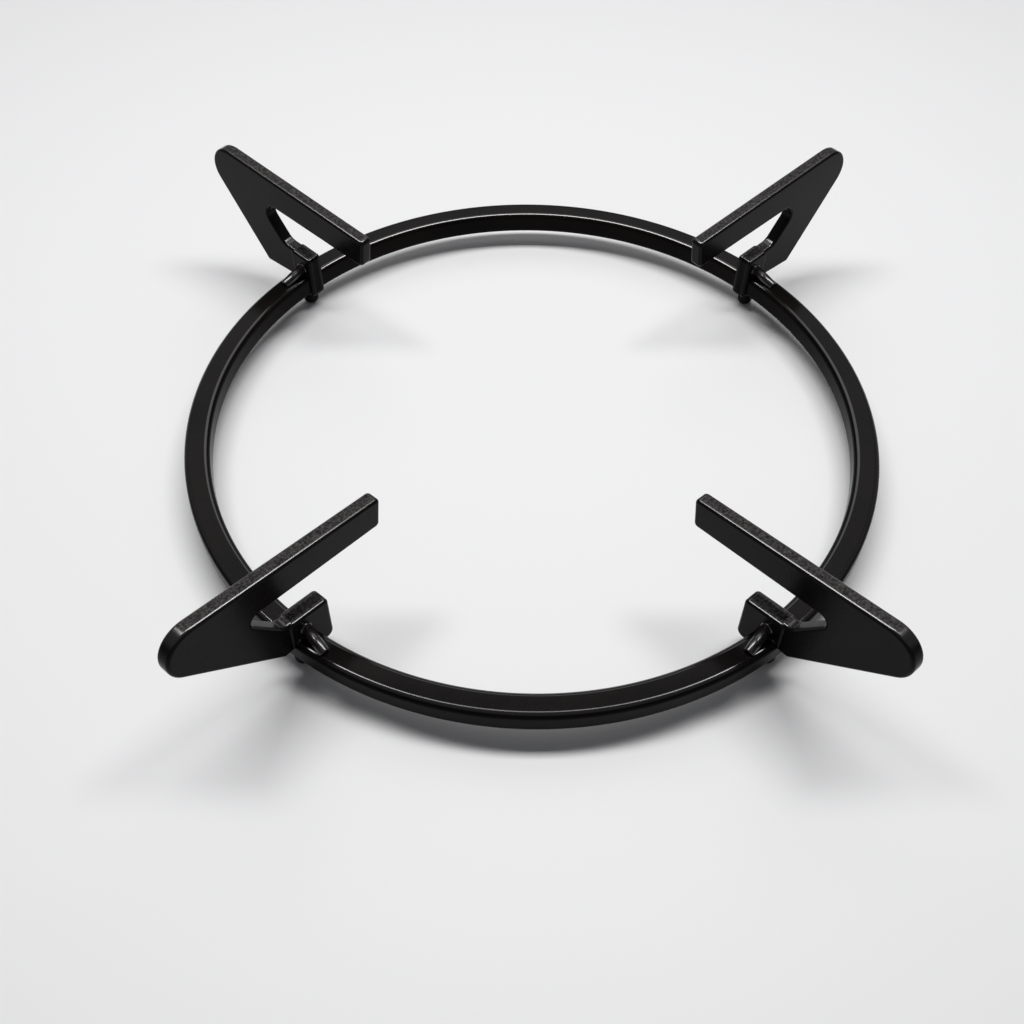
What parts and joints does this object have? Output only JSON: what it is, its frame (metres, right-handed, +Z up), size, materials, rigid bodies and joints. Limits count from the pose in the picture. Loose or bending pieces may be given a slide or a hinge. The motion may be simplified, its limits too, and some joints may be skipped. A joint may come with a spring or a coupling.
{
  "type": "stove ring",
  "caption": "Round pan support ring for a gas hob: a ring of rounded square bar with upright prongs that carry a pan and short feet that stand on the hob.",
  "frame": {"origin": "centre of the ring, on the surface that the four feet stand on", "axes": "+Z up, +Y from the front prongs towards the rear prongs, +X to the right"},
  "size_m": [0.2214, 0.2237, 0.0508],
  "materials": {
    "enamel_ring": "glossy black enamel on steel bar",
    "enamel_prong": "satin black enamel on steel plate, finely grained on the pan rests",
    "enamel_brace": "glossy black enamel on round steel"
  },
  "bodies": {
    "root": {"ring_bar": "enamel_ring", "prong_front_left": "enamel_prong", "prong_front_right": "enamel_prong", "prong_rear_left": "enamel_prong", "prong_rear_right": "enamel_prong", "brace_front_left": "enamel_brace", "brace_front_right": "enamel_brace", "brace_rear_left": "enamel_brace", "brace_rear_right": "enamel_brace"}
  },
  "joints": []
}
